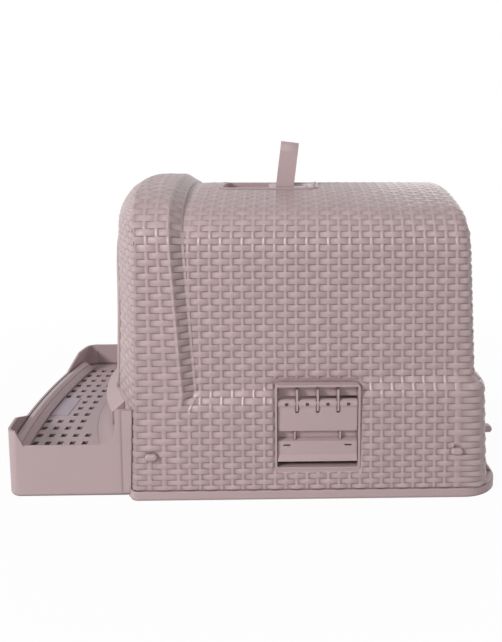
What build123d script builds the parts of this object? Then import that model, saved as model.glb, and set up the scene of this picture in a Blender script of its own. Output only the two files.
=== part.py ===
from build123d import *
from math import atan2, cos, degrees, radians, sin, sqrt, tan
import os

os.makedirs("parts", exist_ok=True)

# Covered litter box in millimetres. +Z is up, the entry step points to -X, the near side is -Y.

# Shared walls and clearances
wall = 3.0
overrun = 40.0
seat_gap = 0.3
slide_gap = 0.5
pin_clearance = 0.05
heel_flat = 1.0

# Places along the length
step_front_x = -308.0
hood_front_x = -195.0
skirt_rear_x = 291.0
body_rear_x = 275.0
plinth_rear_x = 308.0

# Plinth and pan
plinth_height = 11.0
plinth_ledge = 2.5
plinth_rear_radius = 48.0
plinth_front_radius = 10.0
plinth_round = 1.5
plinth_front_step = 3.0
pan_side_gap = 26.0
pan_height = 108.0
pan_corner_radius = 40.0
pan_front_gap = 8.0
catch_length = 60.0
catch_height = 10.0
catch_foot = 74.0
dock_width = 30.0
dock_height = 4.0
dock_window_reach = 17.5
dock_foot = 3.0
dock_spread = 90.0

# Hood: bowed front, leaning sides, recessed body
front_bow_radius = 366.0
hood_lean = 2.0
skirt_half_width = 194.0
skirt_rear_radius = 20.0
skirt_front_x = -120.0
flush_step = 0.4
step_mid_height = 126.0
step_slope = 3.75
step_rise = 18.0
step_depth = 10.0
step_rear_depth = 15.0
body_side_step = 9.0
body_top = 372.0
body_front_x = -130.0
body_rear_lean = 2.6
body_rear_round = 12.0
crown_radius = 440.0
shoulder_radius = 60.0
band_rise = 13.0
band_rear_x = -100.0
band_rear_height = 385.0
band_rear_lean = 4.1
bevel_depth = 10.0
bevel_run = 16.0
front_round = 62.0
front_round_clear = 1.0
entry_half_width = 112.0
entry_foot = 112.0
entry_top = 312.0
entry_corner = 20.0
lip_proud = 15.0
lip_foot = 80.0
lip_height = 17.0
lip_slope = 13.0
lip_end_gap = 27.0
flare_proud = 15.0
flare_height = 26.0
flare_half_width = 150.0

# Uprights of the hood's weave
stake_first_x = -60.2
stake_pitch = 12.9
stake_count = 25
stake_width = 3.0
stake_proud = 1.6

# Entry step tray
tray_side_step = 9.0
tray_front_radius = 1300.0
tray_corner_radius = 16.0
tray_high = 110.0
tray_horn = 83.5
tray_low = 65.5
tray_rear_top = 75.0
low_cut_front_x = -284.0
low_cut_slope = 9.0
low_cut_rear_x = -188.0
low_cut_radius = 24.0
front_low_end = 97.0
front_horn_end = 45.0
front_cut_reach = 40.0
side_cut_reach = 40.0
ledge_width = 6.0
ledge_depth = 4.0
apron_reach = 22.0
tray_foot_round = 5.0
front_slope_round = 14.0
dock_reach = 10.0

# Step grate
grate_top = 50.0
grate_thick = 4.0
grate_rows = 13
grate_side_margin = 43.4
grate_column_pitch = 15.65
grate_first_column = 24.6
hole_length = 7.0
hole_width = 10.0
hole_margin = 9.0
pad_rows = (4, 5, 6)
pad_columns = 2

# Handle and its cup
cup_front_x = -41.0
cup_rear_x = 84.0
cup_half_width = 58.0
cup_wall = 2.5
cup_depth = 27.5
cup_corner = 8.0
cup_flange = 8.0
cup_flange_thick = 3.0
shelf_front_x = 20.0
shelf_rear_x = 74.0
shelf_half_width = 36.0
shelf_depth = 7.0
pivot_x = 41.0
pivot_depth = 14.0
handle_lean = 7.0
handle_reach = 73.0
handle_half_width = 57.0
handle_leg = 13.0
handle_thick = 24.0
handle_bar = 21.0
handle_outer_round = 14.0
handle_inner_round = 9.0
handle_pin_radius = 3.0
handle_pin_depth = 9.0

# Side clips and their housings
clip_x = 81.0
housing_length = 103.0
housing_foot = 36.5
housing_top = 142.0
housing_inset = 13.0
housing_depth = 12.5
housing_corner = 4.0
housing_wall = 2.6
back_plate_foot = 125.0
back_plate_thick = 2.0
hinge_height = 117.5
hinge_depth = 6.0
rib_pitch = 24.8
rib_thick = 2.4
rib_top = 135.5
rib_foot = 109.0
rib_depth = 11.5
clip_pin_radius = 2.0
knuckle_radius = 5.5
clip_side_gap = 0.8
slot_reach = 11.0
clip_thick = 3.0
clip_face_depth = 10.0
groove_depth = 3.0
groove_top = 84.0
groove_foot = 71.0
groove_slope = 2.0
lip_bend_height = 54.5
clip_foot = 46.5
clip_foot_flare = 2.5
eye_size = 4.0
eye_depth = 3.0
eye_places = (-37.2, -12.4, 12.4, 37.2)
groove_rib_spread = 27.6
groove_rib_thick = 2.0
groove_rib_depth = 4.5
lip_slot_spread = 37.0
lip_slot_length = 9.0
lip_slot_tall = 2.0
lip_slot_height = 66.0

# Studs low on the skirt
stud_height = 54.0
stud_front_x = -119.0
stud_rear_x = 250.0
stud_rear_height = 58.0
back_stud_height = 68.0
back_stud_spread = 150.0
back_stud_proud = 15.0
stud_length = 15.0
stud_tall = 8.5
stud_proud = 6.0
stud_round = 3.5
stud_shank = 8.0

# Worked out from the sizes above
lean_run = tan(radians(hood_lean))
bow_x = hood_front_x + front_bow_radius
bow_axis = Axis((bow_x, 0, 0), (0, 0, 1))
band_half_width = skirt_half_width - flush_step
plinth_half_width = skirt_half_width + plinth_ledge
pan_half_width = skirt_half_width - pan_side_gap
body_half_width = skirt_half_width - body_side_step
tray_half_width = skirt_half_width - tray_side_step
lip_half_width = tray_half_width - lip_end_gap
front_low_half = tray_half_width - front_low_end
front_horn_half = tray_half_width - front_horn_end
grate_row_pitch = 2 * (tray_half_width - grate_side_margin) / (grate_rows - 1)
pivot_height = body_top - pivot_depth
cup_floor = body_top - cup_depth
shelf_top = body_top - shelf_depth
housing_inner_y = skirt_half_width - housing_inset
housing_outer_y = housing_inner_y + housing_depth
hinge_y = housing_inner_y + hinge_depth
rib_outer_y = housing_inner_y + rib_depth
clip_face_y = housing_inner_y + clip_face_depth
groove_y = housing_inner_y + groove_depth
catch_reach = housing_inner_y - slide_gap - pan_half_width
band_top = body_top + band_rise
plinth_bow_radius = front_bow_radius + plinth_front_step
tray_rear_radius = plinth_bow_radius + slide_gap
grate_rear_radius = tray_rear_radius + apron_reach
tray_front_center_x = step_front_x + tray_front_radius
pan_gap = skirt_half_width - (stud_height - plinth_height) * lean_run - pan_half_width
pan_rear_x = skirt_rear_x - (stud_height - plinth_height) * lean_run - pan_gap
grate_foot = grate_top - grate_thick
clip_half_length = housing_length / 2 - housing_wall - clip_side_gap


def leaned(foot, height):
    """How far out a leaning wall stands at a height, from where its foot stands."""
    return foot - (height - plinth_height) * lean_run


def bow_at(radius, y):
    """X of the bowed front of the given radius, at a distance y from the middle."""
    return bow_x - sqrt(radius**2 - y**2)


def step_bow_at(radius, y):
    """X of the step's gently bowed front, at a distance y from the middle."""
    return tray_front_center_x - sqrt(radius**2 - y**2)


def bowed_outline(radius, half_width, rear_x):
    """A plan with a bowed front, straight sides and a straight rear."""
    front_x = bow_at(radius, half_width)
    with BuildSketch() as plan:
        with BuildLine():
            ThreePointArc((front_x, -half_width), (bow_x - radius, 0), (front_x, half_width))
            Polyline((front_x, half_width), (rear_x, half_width), (rear_x, -half_width),
                     (front_x, -half_width))
        make_face()
    return plan.sketch


def tray_outline(inset, rear_radius):
    """The step's plan: bowed front with round corners, bowed rear, drawn in by inset."""
    half_width = tray_half_width - inset
    front_radius = tray_front_radius - inset
    front_x = step_bow_at(front_radius, half_width)
    rear_x = bow_at(rear_radius, half_width)
    with BuildSketch() as plan:
        with BuildLine():
            ThreePointArc((front_x, -half_width), (step_front_x + inset, 0), (front_x, half_width))
            Line((front_x, half_width), (rear_x, half_width))
            ThreePointArc((rear_x, half_width), (bow_x - rear_radius, 0), (rear_x, -half_width))
            Line((rear_x, -half_width), (front_x, -half_width))
        make_face()
        fillet(vertices().sort_by(Axis.X)[:2], tray_corner_radius - inset)
    return plan.sketch


def arch_outline(half_width, top, shoulder):
    """The arched cross-section: leaning sides, round shoulders and a crowned top."""
    corner_guess = top - half_width**2 / (2 * crown_radius)
    corner_y = half_width - (corner_guess - plinth_height) * lean_run
    corner_z = top - crown_radius + sqrt(crown_radius**2 - corner_y**2)
    with BuildSketch() as arch:
        with BuildLine():
            Polyline((-corner_y, corner_z), (-half_width, plinth_height), (half_width, plinth_height),
                     (corner_y, corner_z))
            ThreePointArc((-corner_y, corner_z), (0, top), (corner_y, corner_z))
        make_face()
        fillet(vertices().sort_by(Axis.Y)[-2:], shoulder)
    return arch.sketch


def body_form(inset):
    """The recessed body, drawn in by inset."""
    rear_x = body_rear_x - inset
    with BuildPart() as body:
        with BuildSketch(Plane.YZ.offset(body_front_x)):
            add(arch_outline(body_half_width - inset, body_top - inset, shoulder_radius - inset))
        extrude(amount=rear_x - body_front_x)
        rear_normal = (cos(radians(body_rear_lean)), 0, sin(radians(body_rear_lean)))
        split(bisect_by=Plane(origin=(rear_x, 0, step_mid_height), z_dir=rear_normal), keep=Keep.BOTTOM)
        rear_edges = body.faces().sort_by(Axis.X)[-1].edges()
        fillet(rear_edges.sort_by(Axis.Z)[1:], body_rear_round - inset)
    return body.part


def band_form(inset):
    """The arch band round the bowed front, drawn in by inset."""
    with BuildPart() as band:
        with BuildSketch(Plane.YZ.offset(hood_front_x - overrun)):
            shoulder = shoulder_radius + bevel_depth - inset
            add(arch_outline(band_half_width - inset, band_top - inset, shoulder))
        extrude(amount=body_front_x - hood_front_x + 4 * overrun)
        rear_normal = (cos(radians(band_rear_lean)), 0, sin(radians(band_rear_lean)))
        rear_point = (band_rear_x + bevel_run - inset, 0, band_rear_height)
        split(bisect_by=Plane(origin=rear_point, z_dir=rear_normal), keep=Keep.BOTTOM)
        rear_face = band.faces().sort_by(Axis.X)[-1]
        rear_edges = rear_face.edges().sort_by(Axis.Z)[1:]
        chamfer(rear_edges, length=bevel_depth, length2=bevel_run, reference=rear_face)
        with BuildSketch(Plane.XZ):
            foot_z = plinth_height - overrun
            top_z = band_top - inset + front_round_clear
            foot_radius = front_bow_radius - inset + overrun * lean_run
            top_radius = foot_radius - (top_z - foot_z) * lean_run
            with BuildLine():
                Polyline((bow_x, foot_z), (bow_x - foot_radius, foot_z), (bow_x - top_radius, top_z),
                         (bow_x, top_z), close=True)
            make_face()
            fillet(vertices().sort_by(Axis.X)[1], front_round - inset)
        revolve(axis=bow_axis, mode=Mode.INTERSECT)
    return band.part


def skirt_form(inset):
    """The skirt below the sloping step line, drawn in by inset."""
    slope_run = tan(radians(step_slope))
    slope_normal = (-sin(radians(step_slope)), 0, cos(radians(step_slope)))
    slope_x = (cos(radians(step_slope)), 0, sin(radians(step_slope)))
    foot_height = step_mid_height - step_rise / 2 - inset
    foot_half = skirt_half_width - (foot_height - plinth_height) * lean_run - inset
    rear_drop = (foot_height + skirt_rear_x * slope_run - plinth_height) * lean_run
    sections = (
        (Plane.XY.offset(plinth_height), skirt_half_width - inset, skirt_rear_x - inset),
        (Plane((0, 0, foot_height), slope_x, slope_normal), foot_half, skirt_rear_x - rear_drop - inset),
        (Plane((0, 0, foot_height + step_rise), slope_x, slope_normal), foot_half - step_depth,
         skirt_rear_x - rear_drop - step_rear_depth - inset),
    )
    with BuildPart() as skirt:
        for plane, half_width, rear_x in sections:
            with BuildSketch(plane):
                with BuildLine():
                    Polyline((skirt_front_x, -half_width), (rear_x, -half_width), (rear_x, half_width),
                             (skirt_front_x, half_width), close=True)
                make_face()
                fillet(vertices().sort_by(Axis.X)[-2:], skirt_rear_radius - inset)
        loft(ruled=True)
    return skirt.part


def arch_slab(x_start, x_end, inset):
    """A straight run of the body's arch, used where a piece follows the crowned top."""
    with BuildPart() as slab:
        with BuildSketch(Plane.YZ.offset(x_start)):
            add(arch_outline(body_half_width - inset, body_top - inset, shoulder_radius - inset))
        extrude(amount=x_end - x_start)
    return slab.part


def cup_plan(margin):
    """Plan of the handle cup, grown by margin."""
    with BuildSketch() as plan:
        with Locations(((cup_front_x + cup_rear_x) / 2, 0)):
            RectangleRounded(cup_rear_x - cup_front_x + 2 * margin, 2 * (cup_half_width + margin),
                             cup_corner + margin)
    return plan.sketch


# Planes of the studs at the sides and of those at the rear, square to the leaning skirt
lean_cos = cos(radians(hood_lean))
lean_sin = sin(radians(hood_lean))
stud_planes = [
    Plane((x, side * (leaned(skirt_half_width, height) + seat_gap), height), (1, 0, 0),
          (0, side * lean_cos, lean_sin))
    for side in (-1, 1)
    for x, height in ((stud_front_x, stud_height), (stud_rear_x, stud_rear_height))
]
back_stud_planes = [
    Plane((leaned(skirt_rear_x, back_stud_height) + seat_gap, y, back_stud_height), (0, 1, 0),
          (lean_cos, 0, lean_sin))
    for y in (-back_stud_spread, back_stud_spread)
]

# Hood shell
lip_radius = front_bow_radius + lip_proud - (lip_foot - plinth_height) * lean_run
lip_root = front_bow_radius - wall - (lip_foot - plinth_height) * lean_run
lip_angle = degrees(atan2(lip_half_width, sqrt(lip_radius**2 - lip_half_width**2)))
with BuildPart() as entry_lip:
    with BuildSketch(Plane((bow_x, 0, 0), x_dir=(-cos(radians(lip_angle)), -sin(radians(lip_angle)), 0),
                           z_dir=(-sin(radians(lip_angle)), cos(radians(lip_angle)), 0))):
        with BuildLine():
            Polyline((lip_root, lip_foot), (lip_radius, lip_foot), (lip_radius, lip_foot + lip_height),
                     (lip_root, lip_foot + lip_height + lip_slope), close=True)
        make_face()
    revolve(axis=bow_axis, revolution_arc=-2 * lip_angle)
with BuildPart() as hood_shell:
    add(body_form(0))
    add(band_form(0))
    add(skirt_form(0))
    add(entry_lip.part)
    with BuildSketch(Plane.XZ.offset(-flare_half_width)):
        with BuildLine():
            Polyline((skirt_rear_x - wall, plinth_height), (skirt_rear_x + flare_proud, plinth_height),
                     (skirt_rear_x - wall, plinth_height + flare_height), close=True)
        make_face()
    extrude(amount=2 * flare_half_width)
    add(body_form(wall), mode=Mode.SUBTRACT)
    add(band_form(wall), mode=Mode.SUBTRACT)
    add(skirt_form(wall), mode=Mode.SUBTRACT)
    with BuildSketch(Plane.YZ.offset(hood_front_x - overrun)):
        with BuildLine():
            Polyline((-entry_half_width, entry_top - entry_half_width), (-entry_half_width, entry_foot),
                     (entry_half_width, entry_foot), (entry_half_width, entry_top - entry_half_width))
            ThreePointArc((-entry_half_width, entry_top - entry_half_width), (0, entry_top),
                          (entry_half_width, entry_top - entry_half_width))
        make_face()
        fillet(vertices().sort_by(Axis.Y)[:2], entry_corner)
    extrude(amount=body_front_x - hood_front_x + overrun, mode=Mode.SUBTRACT)
    with BuildSketch(Plane.XY.offset(cup_floor)):
        add(cup_plan(cup_wall + seat_gap))
    extrude(amount=overrun, mode=Mode.SUBTRACT)
    with BuildSketch(Plane.XZ.offset(-skirt_half_width - overrun)):
        with Locations((clip_x, (housing_foot + housing_top) / 2)):
            RectangleRounded(housing_length + 2 * seat_gap, housing_top - housing_foot + 2 * seat_gap,
                             housing_corner + seat_gap)
    extrude(amount=2 * (skirt_half_width + overrun), mode=Mode.SUBTRACT)
    with BuildSketch(*stud_planes, *back_stud_planes):
        Circle(stud_shank / 2 + pin_clearance)
    extrude(amount=overrun / 2, both=True, mode=Mode.SUBTRACT)
hood_shell.part.label = "hood_shell"
export_step(hood_shell.part, "parts/hood_shell.step")

# Uprights of the weave: hoops on the outside of the hood's body and skirt
with BuildPart() as hood_uprights:
    add(body_form(-stake_proud))
    add(skirt_form(-stake_proud))
    with BuildSketch(Plane.XZ.offset(-skirt_half_width - overrun)):
        with Locations(*[(stake_first_x + step * stake_pitch, body_top / 2) for step in range(stake_count)]):
            Rectangle(stake_width, body_top + overrun)
    extrude(amount=2 * (skirt_half_width + overrun), mode=Mode.INTERSECT)
    add(body_form(0), mode=Mode.SUBTRACT)
    add(skirt_form(0), mode=Mode.SUBTRACT)
    with BuildSketch(Plane.XY.offset(cup_floor)):
        add(cup_plan(cup_wall + seat_gap))
    extrude(amount=overrun, mode=Mode.SUBTRACT)
    with BuildSketch(Plane.XZ.offset(-skirt_half_width - overrun)):
        with Locations((clip_x, (housing_foot + housing_top) / 2)):
            RectangleRounded(housing_length + 2 * seat_gap, housing_top - housing_foot + 2 * seat_gap,
                             housing_corner + seat_gap)
    extrude(amount=2 * (skirt_half_width + overrun), mode=Mode.SUBTRACT)
    with BuildSketch(*stud_planes):
        SlotOverall(stud_length + 2 * slide_gap, stud_tall + 2 * slide_gap)
    extrude(amount=overrun, both=True, mode=Mode.SUBTRACT)
hood_uprights.part.label = "hood_uprights"
export_step(hood_uprights.part, "parts/hood_uprights.step")

# Base pan with its plinth rim
pan_front_radius = front_bow_radius - wall - pan_front_gap
with BuildPart() as base_pan:
    with BuildSketch():
        add(bowed_outline(plinth_bow_radius, plinth_half_width, plinth_rear_x))
        fillet(vertices().sort_by(Axis.X)[-2:], plinth_rear_radius)
        fillet(vertices().sort_by(Axis.X)[:2], plinth_front_radius)
    extrude(amount=plinth_height)
    fillet(base_pan.faces().sort_by(Axis.Z)[-1].edges(), plinth_round)
    with BuildSketch():
        add(bowed_outline(plinth_bow_radius - wall, plinth_half_width - wall, plinth_rear_x - wall))
        fillet(vertices().sort_by(Axis.X)[-2:], plinth_rear_radius - wall)
        fillet(vertices().sort_by(Axis.X)[:2], plinth_front_radius - wall)
    extrude(amount=plinth_height - wall, mode=Mode.SUBTRACT)
    with BuildSketch():
        add(bowed_outline(pan_front_radius, pan_half_width, pan_rear_x))
        fillet(vertices(), pan_corner_radius)
    extrude(amount=pan_height)
    for side in (-1, 1):
        with BuildSketch(Plane.XY.offset(catch_foot)):
            with Locations((clip_x, side * (pan_half_width + catch_reach / 2 - wall / 2))):
                Rectangle(catch_length, catch_reach + wall)
        extrude(amount=catch_height)
    with BuildSketch(Plane.XY.offset(wall)):
        add(bowed_outline(pan_front_radius - wall, pan_half_width - wall, pan_rear_x - wall))
        fillet(vertices(), pan_corner_radius - wall)
    extrude(amount=pan_height, mode=Mode.SUBTRACT)
    with BuildSketch(Plane.YZ.offset(hood_front_x - overrun)):
        dock_middle = dock_foot + dock_height / 2
        with Locations((-dock_spread, dock_middle), (dock_spread, dock_middle)):
            Rectangle(dock_width + 2 * slide_gap, dock_height + 2 * slide_gap)
    extrude(amount=overrun + dock_window_reach, mode=Mode.SUBTRACT)
base_pan.part.label = "base_pan"
export_step(base_pan.part, "parts/base_pan.step")

# Apron at the rear of the step, curving up to the hood
apron_root_x = bow_x - tray_rear_radius - wall / 2
apron_front_x = bow_x - grate_rear_radius
with BuildPart() as apron:
    with BuildSketch(Plane.XZ):
        with BuildLine():
            Polyline((apron_root_x, tray_rear_top), (apron_root_x, grate_foot - ledge_depth),
                     (apron_front_x - ledge_width, grate_foot - ledge_depth),
                     (apron_front_x - ledge_width, grate_foot), (apron_front_x, grate_foot),
                     (apron_front_x, grate_top))
            TangentArc((apron_front_x, grate_top), (apron_root_x, tray_rear_top), tangent=(1, 0))
        make_face()
    revolve(axis=bow_axis)
    with BuildSketch():
        add(tray_outline(wall / 2, tray_rear_radius))
    extrude(amount=tray_high, mode=Mode.INTERSECT)

# Entry step tray
with BuildPart() as step_tray:
    with BuildSketch():
        add(tray_outline(0, tray_rear_radius))
    extrude(amount=tray_high)
    fillet(step_tray.faces().sort_by(Axis.Z)[0].edges(), tray_foot_round)
    with BuildSketch(Plane.XY.offset(wall)):
        add(tray_outline(wall, tray_rear_radius + wall))
    extrude(amount=tray_high, mode=Mode.SUBTRACT)
    with BuildSketch(Plane.XY.offset(grate_foot - ledge_depth)):
        add(tray_outline(wall / 2, tray_rear_radius + wall / 2))
        add(tray_outline(wall + ledge_width, tray_rear_radius + wall), mode=Mode.SUBTRACT)
    extrude(amount=ledge_depth)
    add(apron.part)
    with BuildSketch(Plane.XY.offset(tray_rear_top)):
        add(tray_outline(wall, tray_rear_radius - overrun))
    extrude(amount=tray_high, mode=Mode.SUBTRACT)
    with BuildSketch(Plane.YZ.offset(step_front_x - overrun)):
        cut_half = tray_half_width + overrun
        cut_top = tray_high + overrun
        with BuildLine():
            Polyline((-cut_half, tray_horn), (-front_horn_half, tray_horn), (-front_low_half, tray_low),
                     (front_low_half, tray_low), (front_horn_half, tray_horn), (cut_half, tray_horn),
                     (cut_half, cut_top), (-cut_half, cut_top), close=True)
        make_face()
        fillet(vertices().group_by(Axis.Y)[0], front_slope_round)
    extrude(amount=overrun + front_cut_reach, mode=Mode.SUBTRACT)
    for cut_start, rim in ((tray_half_width - side_cut_reach, tray_low), (-cut_half, tray_horn)):
        with BuildSketch(Plane.XZ.offset(cut_start)):
            rise_x = low_cut_rear_x + low_cut_radius
            with BuildLine():
                Polyline((step_front_x - overrun, cut_top), (step_front_x - overrun, tray_horn),
                         (low_cut_front_x, tray_horn), (low_cut_front_x + low_cut_slope, rim),
                         (low_cut_rear_x, rim))
                TangentArc((low_cut_rear_x, rim), (rise_x, rim + low_cut_radius), tangent=(1, 0))
                Polyline((rise_x, rim + low_cut_radius), (rise_x, cut_top), (step_front_x - overrun, cut_top))
            make_face()
        extrude(amount=side_cut_reach + overrun, mode=Mode.SUBTRACT)
    with BuildSketch(Plane.XY.offset(dock_foot)):
        dock_x = bow_at(tray_rear_radius, dock_spread)
        with Locations((dock_x, -dock_spread), (dock_x, dock_spread)):
            Rectangle(2 * dock_reach, dock_width)
        add(tray_outline(wall, tray_rear_radius + wall), mode=Mode.SUBTRACT)
    extrude(amount=dock_height)
step_tray.part.label = "step_tray"
export_step(step_tray.part, "parts/step_tray.step")

# Step grate with its holes in arcs and a bare pad
hole_places = []
for row in range(grate_rows):
    row_y = (row - (grate_rows - 1) / 2) * grate_row_pitch
    column = 0
    column_x = step_bow_at(tray_front_radius, row_y) + grate_first_column
    while column_x + hole_length / 2 + hole_margin < bow_at(grate_rear_radius, row_y):
        if row not in pad_rows or column >= pad_columns:
            hole_places.append((column_x, row_y))
        column += 1
        column_x += grate_column_pitch
with BuildPart() as step_grate:
    with BuildSketch(Plane.XY.offset(grate_foot)):
        add(tray_outline(wall + seat_gap, grate_rear_radius + seat_gap))
        with Locations(*hole_places):
            Rectangle(hole_length, hole_width, mode=Mode.SUBTRACT)
    extrude(amount=grate_thick)
step_grate.part.label = "step_grate"
export_step(step_grate.part, "parts/step_grate.step")

# Handle cup, its rim flush with the crowned top, held by a flange under the skin
cup_span = (cup_front_x - overrun, cup_rear_x + overrun)
stop_x = pivot_x + handle_thick / 2 + (shelf_top - pivot_height) * tan(radians(handle_lean)) + slide_gap
with BuildPart() as cup_rim:
    with BuildSketch(Plane.XY.offset(cup_floor)):
        add(cup_plan(cup_wall + cup_flange))
    extrude(amount=overrun)
    add(arch_slab(*cup_span, wall + seat_gap), mode=Mode.INTERSECT)
    add(arch_slab(*cup_span, wall + seat_gap + cup_flange_thick), mode=Mode.SUBTRACT)
with BuildPart() as handle_cup:
    with BuildSketch(Plane.XY.offset(cup_floor - cup_wall)):
        add(cup_plan(cup_wall))
    extrude(amount=overrun)
    add(arch_slab(*cup_span, 0), mode=Mode.INTERSECT)
    add(cup_rim.part)
    with BuildSketch(Plane.XY.offset(cup_floor)):
        add(cup_plan(0))
    extrude(amount=overrun, mode=Mode.SUBTRACT)
    with BuildSketch(Plane.XY.offset(cup_floor)):
        with Locations(((shelf_front_x + shelf_rear_x) / 2, 0)):
            Rectangle(shelf_rear_x - shelf_front_x, 2 * shelf_half_width)
        with Locations(((stop_x + shelf_rear_x) / 2, 0)):
            Rectangle(shelf_rear_x - stop_x, 2 * cup_half_width)
    extrude(amount=shelf_top - cup_floor)
    with BuildSketch(Plane.XZ.offset(-cup_half_width - overrun)):
        with Locations((pivot_x, pivot_height)):
            Circle(handle_pin_radius + pin_clearance)
    extrude(amount=overrun + cup_half_width - shelf_half_width, mode=Mode.SUBTRACT)
    with BuildSketch(Plane.XZ.offset(shelf_half_width)):
        with Locations((pivot_x, pivot_height)):
            Circle(handle_pin_radius + pin_clearance)
    extrude(amount=overrun + cup_half_width - shelf_half_width, mode=Mode.SUBTRACT)
handle_cup.part.label = "handle_cup"
export_step(handle_cup.part, "parts/handle_cup.step")

# Carry handle, leaning back on its stop
handle_normal = (cos(radians(handle_lean)), 0, -sin(radians(handle_lean)))
handle_plane = Plane((pivot_x, 0, pivot_height), x_dir=(0, 1, 0), z_dir=handle_normal)
grip_half = handle_half_width - handle_leg
grip_top = handle_reach - handle_bar
heel = -handle_thick / 2
bore_depth = cup_half_width - handle_half_width + handle_pin_depth
with BuildPart() as carry_handle:
    with BuildSketch(handle_plane):
        with BuildLine():
            Polyline((-handle_half_width, heel), (-handle_half_width, handle_reach),
                     (handle_half_width, handle_reach), (handle_half_width, heel), (grip_half, heel),
                     (grip_half, grip_top), (-grip_half, grip_top), (-grip_half, heel), close=True)
        make_face()
        fillet(vertices().sort_by(Axis.Y)[-4:-2], handle_inner_round)
        fillet(vertices().sort_by(Axis.Y)[-2:], handle_outer_round)
    extrude(amount=handle_thick / 2, both=True)
    heel_edges = carry_handle.edges().filter_by(Axis.Y).sort_by(Axis.Z)[:4]
    fillet(heel_edges, handle_thick / 2 - heel_flat)
    for bore_start, bore_length in ((-cup_half_width, bore_depth), (cup_half_width, -bore_depth)):
        with BuildSketch(Plane.XZ.offset(bore_start)):
            with Locations((pivot_x, pivot_height)):
                Circle(handle_pin_radius + pin_clearance)
        extrude(amount=bore_length, mode=Mode.SUBTRACT)
carry_handle.part.label = "carry_handle"
export_step(carry_handle.part, "parts/carry_handle.step")

# Two stub pins that carry the handle
pin_length = cup_wall + cup_half_width - handle_half_width + handle_pin_depth - slide_gap
with BuildPart() as handle_pins:
    with BuildSketch(Plane.XZ.offset(-cup_half_width - cup_wall)):
        with Locations((pivot_x, pivot_height)):
            Circle(handle_pin_radius)
    extrude(amount=pin_length)
    with BuildSketch(Plane.XZ.offset(cup_half_width + cup_wall)):
        with Locations((pivot_x, pivot_height)):
            Circle(handle_pin_radius)
    extrude(amount=-pin_length)
handle_pins.part.label = "handle_pins"
export_step(handle_pins.part, "parts/handle_pins.step")

# Clip housing on the near side, with three ribs for the hinge pin
housing_height = housing_top - housing_foot
housing_middle = (clip_x, (housing_top + housing_foot) / 2)
rib_places = [clip_x + step * rib_pitch for step in (-1, 0, 1)]
with BuildPart() as clip_housing_near:
    with BuildSketch(Plane.XZ.offset(housing_inner_y)):
        with Locations(housing_middle):
            RectangleRounded(housing_length, housing_height, housing_corner)
            RectangleRounded(housing_length - 2 * housing_wall, housing_height - 2 * housing_wall,
                             housing_corner - housing_wall, mode=Mode.SUBTRACT)
    extrude(amount=housing_outer_y - housing_inner_y)
    with BuildSketch(Plane.XZ.offset(housing_inner_y)):
        back_plate_top = housing_top - housing_wall / 2
        with Locations((clip_x, (back_plate_foot + back_plate_top) / 2)):
            Rectangle(housing_length - housing_wall, back_plate_top - back_plate_foot)
    extrude(amount=back_plate_thick)
    with BuildSketch(Plane.XZ.offset(housing_inner_y)):
        with Locations(*[(x, (rib_foot + rib_top) / 2) for x in rib_places]):
            Rectangle(rib_thick, rib_top - rib_foot)
    extrude(amount=rib_outer_y - housing_inner_y)
    with BuildSketch(Plane.YZ.offset(clip_x - clip_half_length)):
        with Locations((-hinge_y, hinge_height)):
            Circle(clip_pin_radius + pin_clearance)
    extrude(amount=2 * clip_half_length, mode=Mode.SUBTRACT)
clip_housing_near.part.label = "clip_housing_near"
export_step(clip_housing_near.part, "parts/clip_housing_near.step")

# Snap clip on the near side: four knuckles, a plate, a hook bend and a finger lip
inner_y = clip_face_y - clip_thick
hook_y = groove_y - clip_thick
with BuildPart() as clip_near:
    with BuildSketch(Plane.YZ.offset(clip_x - clip_half_length)):
        with BuildLine():
            Polyline((-clip_face_y, hinge_height), (-clip_face_y, groove_top),
                     (-groove_y, groove_top - groove_slope), (-groove_y, groove_foot + groove_slope),
                     (-clip_face_y, groove_foot), (-clip_face_y, lip_bend_height),
                     (-clip_face_y - clip_foot_flare, clip_foot), (-inner_y - clip_foot_flare, clip_foot),
                     (-inner_y, lip_bend_height), (-inner_y, groove_foot - clip_thick),
                     (-hook_y, groove_foot - clip_thick + groove_slope),
                     (-hook_y, groove_top + clip_thick - groove_slope), (-inner_y, groove_top + clip_thick),
                     (-inner_y, hinge_height), close=True)
        make_face()
        with Locations((-hinge_y, hinge_height)):
            Circle(knuckle_radius)
            Circle(clip_pin_radius + pin_clearance, mode=Mode.SUBTRACT)
    extrude(amount=2 * clip_half_length)
    with BuildSketch(Plane.XZ.offset(hinge_y - overrun / 2)):
        with Locations(*[(x, hinge_height - slot_reach + overrun / 2) for x in rib_places]):
            Rectangle(rib_thick + 2 * clip_side_gap, overrun)
    extrude(amount=overrun, mode=Mode.SUBTRACT)
    with BuildSketch(Plane.XZ.offset(hinge_y + knuckle_radius - eye_depth)):
        with Locations(*[(clip_x + place, hinge_height) for place in eye_places]):
            Rectangle(eye_size, eye_size)
    extrude(amount=overrun, mode=Mode.SUBTRACT)
    with BuildSketch(Plane.XZ.offset(groove_y - clip_thick / 2)):
        with Locations((clip_x - groove_rib_spread, (groove_top + groove_foot) / 2),
                       (clip_x + groove_rib_spread, (groove_top + groove_foot) / 2)):
            Rectangle(groove_rib_thick, groove_top - groove_foot)
    extrude(amount=clip_thick / 2 + groove_rib_depth)
    with BuildSketch(Plane.XZ.offset(inner_y - overrun / 2)):
        with Locations((clip_x - lip_slot_spread, lip_slot_height),
                       (clip_x + lip_slot_spread, lip_slot_height)):
            SlotOverall(lip_slot_length, lip_slot_tall)
    extrude(amount=overrun, mode=Mode.SUBTRACT)
clip_near.part.label = "clip_near"
export_step(clip_near.part, "parts/clip_near.step")

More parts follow.
